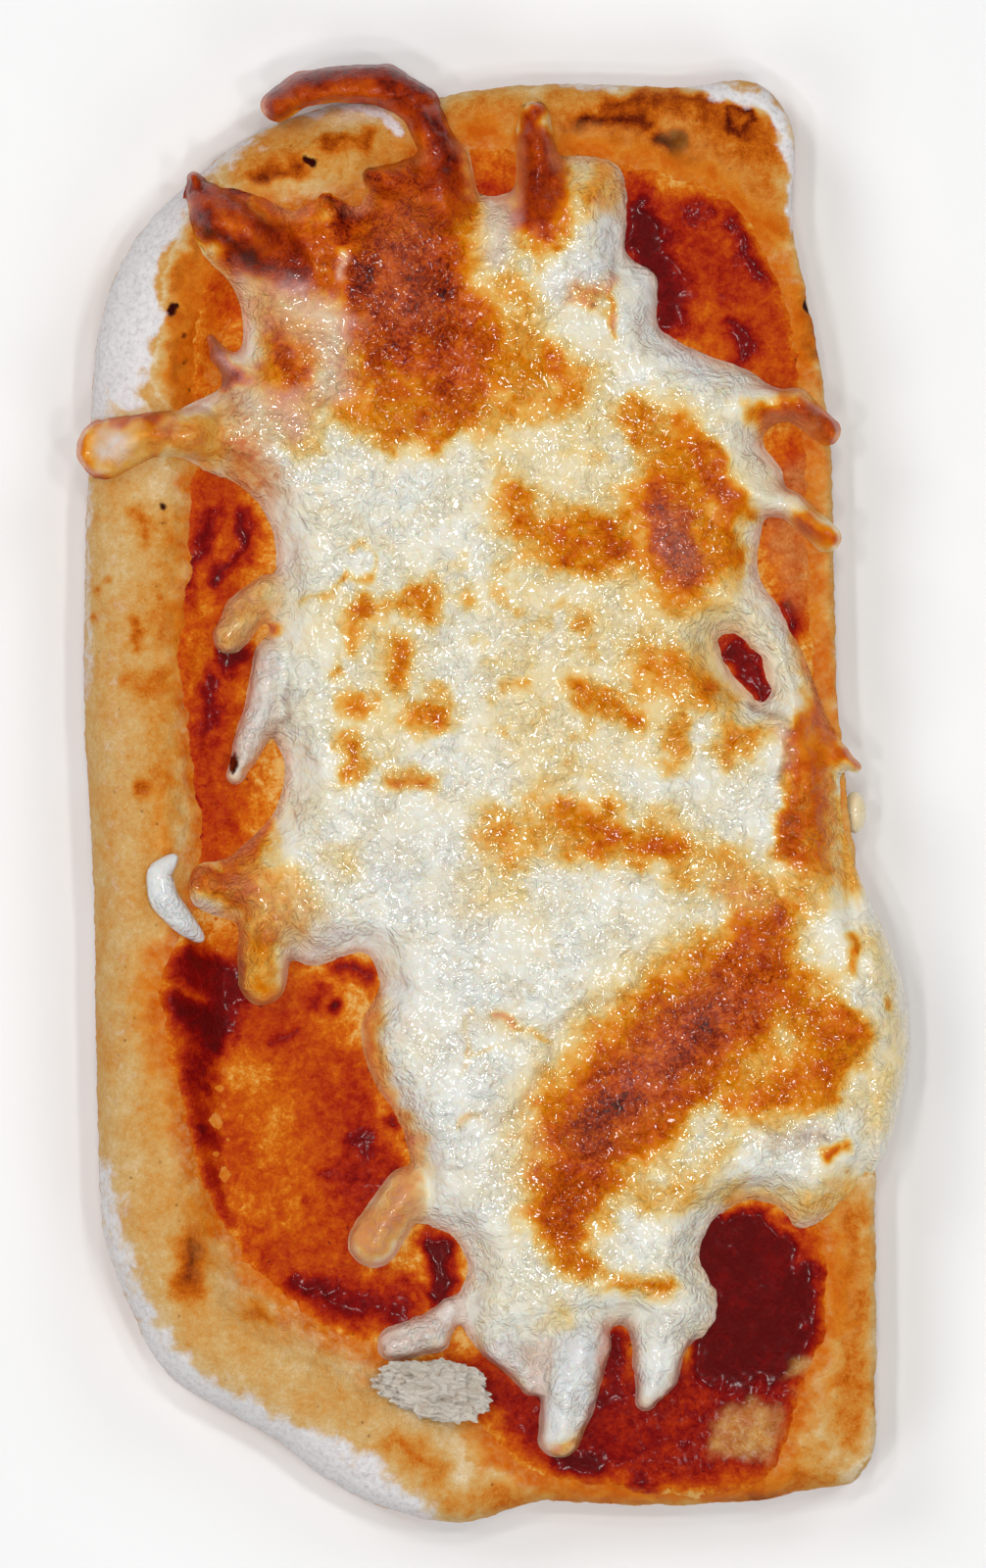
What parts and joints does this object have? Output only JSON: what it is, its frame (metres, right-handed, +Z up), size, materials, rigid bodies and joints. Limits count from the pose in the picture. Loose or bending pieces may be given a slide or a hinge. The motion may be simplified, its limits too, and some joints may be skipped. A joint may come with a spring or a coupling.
{
  "type": "cheese pizza slice",
  "caption": "Cheese pizza slice cut from a long tray pizza: puffed floured rim on the left, tomato sauce, and browned melted mozzarella with strands running over the edges.",
  "frame": {"origin": "on the flat base, under the middle of the box round the whole slice", "axes": "+X from the puffed rim to the straight cut side, +Y along the slice's length, +Z up"},
  "size_m": [0.1102, 0.1936, 0.0234],
  "materials": {
    "baked_dough": "matte baked dough, golden to brown, floured white at the rim",
    "sauce": "moist cooked tomato, half glossy",
    "melted_cheese": "wet glossy melted cheese, cream with orange-brown toasting",
    "white_cheese": "smooth white cheese, half glossy",
    "torn_crumb": "dry torn bread crumb"
  },
  "bodies": {
    "root": {"dough": "baked_dough", "tomato_sauce": "sauce", "mozzarella": "melted_cheese", "cheese_curl": "white_cheese", "cheese_drop": "melted_cheese", "bread_scrap": "torn_crumb"}
  },
  "joints": []
}
